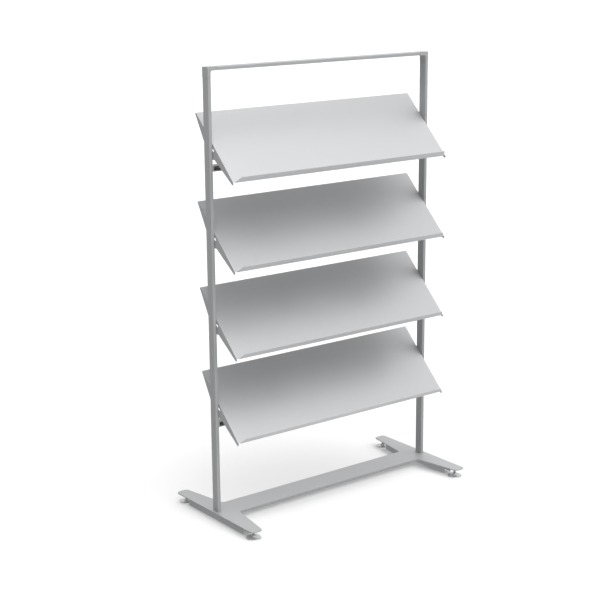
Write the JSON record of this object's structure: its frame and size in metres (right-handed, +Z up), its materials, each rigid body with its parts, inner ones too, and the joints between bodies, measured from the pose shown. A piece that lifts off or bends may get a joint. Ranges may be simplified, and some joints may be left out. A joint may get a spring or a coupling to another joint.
{
  "type": "periodical display rack",
  "caption": "Free-standing display rack: sloping lipped metal shelves that tilt between two slim tube uprights on a flat skirted base with levelling glides.",
  "frame": {"origin": "on the floor under the middle of the rack", "axes": "+Z up, +X along the shelves to the viewer's right, front towards -Y"},
  "size_m": [1.001, 0.48, 1.6],
  "materials": {
    "frame_coat": "satin silver-grey powder coat",
    "shelf_coat": "satin light silver-grey powder coat",
    "fastener_steel": "zinc-plated steel",
    "glide_pad": "bright pressed-steel pad"
  },
  "bodies": {
    "frame": {"top_rail": "frame_coat", "base_plate": "frame_coat", "base_skirt_front": "frame_coat", "base_skirt_back": "frame_coat", "cross_rail_upper": "frame_coat", "cross_rail_lower": "frame_coat", "upright_left": "frame_coat", "corner_connector_left": "frame_coat", "base_skirt_left": "frame_coat", "upright_right": "frame_coat", "corner_connector_right": "frame_coat", "base_skirt_right": "frame_coat", "upright_plug_left": "fastener_steel", "upright_plug_right": "fastener_steel", "base_bolt_front_left": "fastener_steel", "base_bolt_back_left": "fastener_steel", "base_bolt_front_right": "fastener_steel", "base_bolt_back_right": "fastener_steel", "glide_nut_front_left": "fastener_steel", "glide_nut_back_left": "fastener_steel", "glide_nut_front_right": "fastener_steel", "glide_nut_back_right": "fastener_steel", "rail_screw_upper_front_left": "fastener_steel", "rail_screw_upper_back_left": "fastener_steel", "rail_screw_upper_front_right": "fastener_steel", "rail_screw_upper_back_right": "fastener_steel", "rail_screw_lower_front_left": "fastener_steel", "rail_screw_lower_back_left": "fastener_steel", "rail_screw_lower_front_right": "fastener_steel", "rail_screw_lower_back_right": "fastener_steel", "shelf_1_pivot_bolt_left": "fastener_steel", "shelf_1_pivot_bolt_right": "fastener_steel", "shelf_1_lock_bolt_left": "fastener_steel", "shelf_1_lock_bolt_right": "fastener_steel", "shelf_2_pivot_bolt_left": "fastener_steel", "shelf_2_pivot_bolt_right": "fastener_steel", "shelf_2_lock_bolt_left": "fastener_steel", "shelf_2_lock_bolt_right": "fastener_steel", "shelf_3_pivot_bolt_left": "fastener_steel", "shelf_3_pivot_bolt_right": "fastener_steel", "shelf_3_lock_bolt_left": "fastener_steel", "shelf_3_lock_bolt_right": "fastener_steel", "shelf_4_pivot_bolt_left": "fastener_steel", "shelf_4_pivot_bolt_right": "fastener_steel", "shelf_4_lock_bolt_left": "fastener_steel", "shelf_4_lock_bolt_right": "fastener_steel"},
    "shelf_1": {"shelf_1": "shelf_coat"},
    "shelf_2": {"shelf_2": "shelf_coat"},
    "shelf_3": {"shelf_3": "shelf_coat"},
    "shelf_4": {"shelf_4": "shelf_coat"},
    "glide_front_left": {"glide_pad_front_left": "glide_pad", "glide_stem_front_left": "fastener_steel"},
    "glide_back_left": {"glide_pad_back_left": "glide_pad", "glide_stem_back_left": "fastener_steel"},
    "glide_front_right": {"glide_pad_front_right": "glide_pad", "glide_stem_front_right": "fastener_steel"},
    "glide_back_right": {"glide_pad_back_right": "glide_pad", "glide_stem_back_right": "fastener_steel"}
  },
  "joints": [
    {"name": "shelf_1_tilt", "type": "hinge", "parent": "frame", "child": "shelf_1", "pos_m": [0, 0, 1.3019], "axis": [-1, 0, 0], "range_deg": [0, 45]},
    {"name": "shelf_2_tilt", "type": "hinge", "parent": "frame", "child": "shelf_2", "pos_m": [0, 0, 0.9993], "axis": [-1, 0, 0], "range_deg": [0, 45]},
    {"name": "shelf_3_tilt", "type": "hinge", "parent": "frame", "child": "shelf_3", "pos_m": [0, 0, 0.6967], "axis": [-1, 0, 0], "range_deg": [0, 45]},
    {"name": "shelf_4_tilt", "type": "hinge", "parent": "frame", "child": "shelf_4", "pos_m": [0, 0, 0.3941], "axis": [-1, 0, 0], "range_deg": [0, 45]},
    {"name": "glide_front_left_level", "type": "slide", "parent": "frame", "child": "glide_front_left", "axis": [0, 0, -1], "range_m": [0, 0.005]},
    {"name": "glide_back_left_level", "type": "slide", "parent": "frame", "child": "glide_back_left", "axis": [0, 0, -1], "range_m": [0, 0.005]},
    {"name": "glide_front_right_level", "type": "slide", "parent": "frame", "child": "glide_front_right", "axis": [0, 0, -1], "range_m": [0, 0.005]},
    {"name": "glide_back_right_level", "type": "slide", "parent": "frame", "child": "glide_back_right", "axis": [0, 0, -1], "range_m": [0, 0.005]}
  ]
}
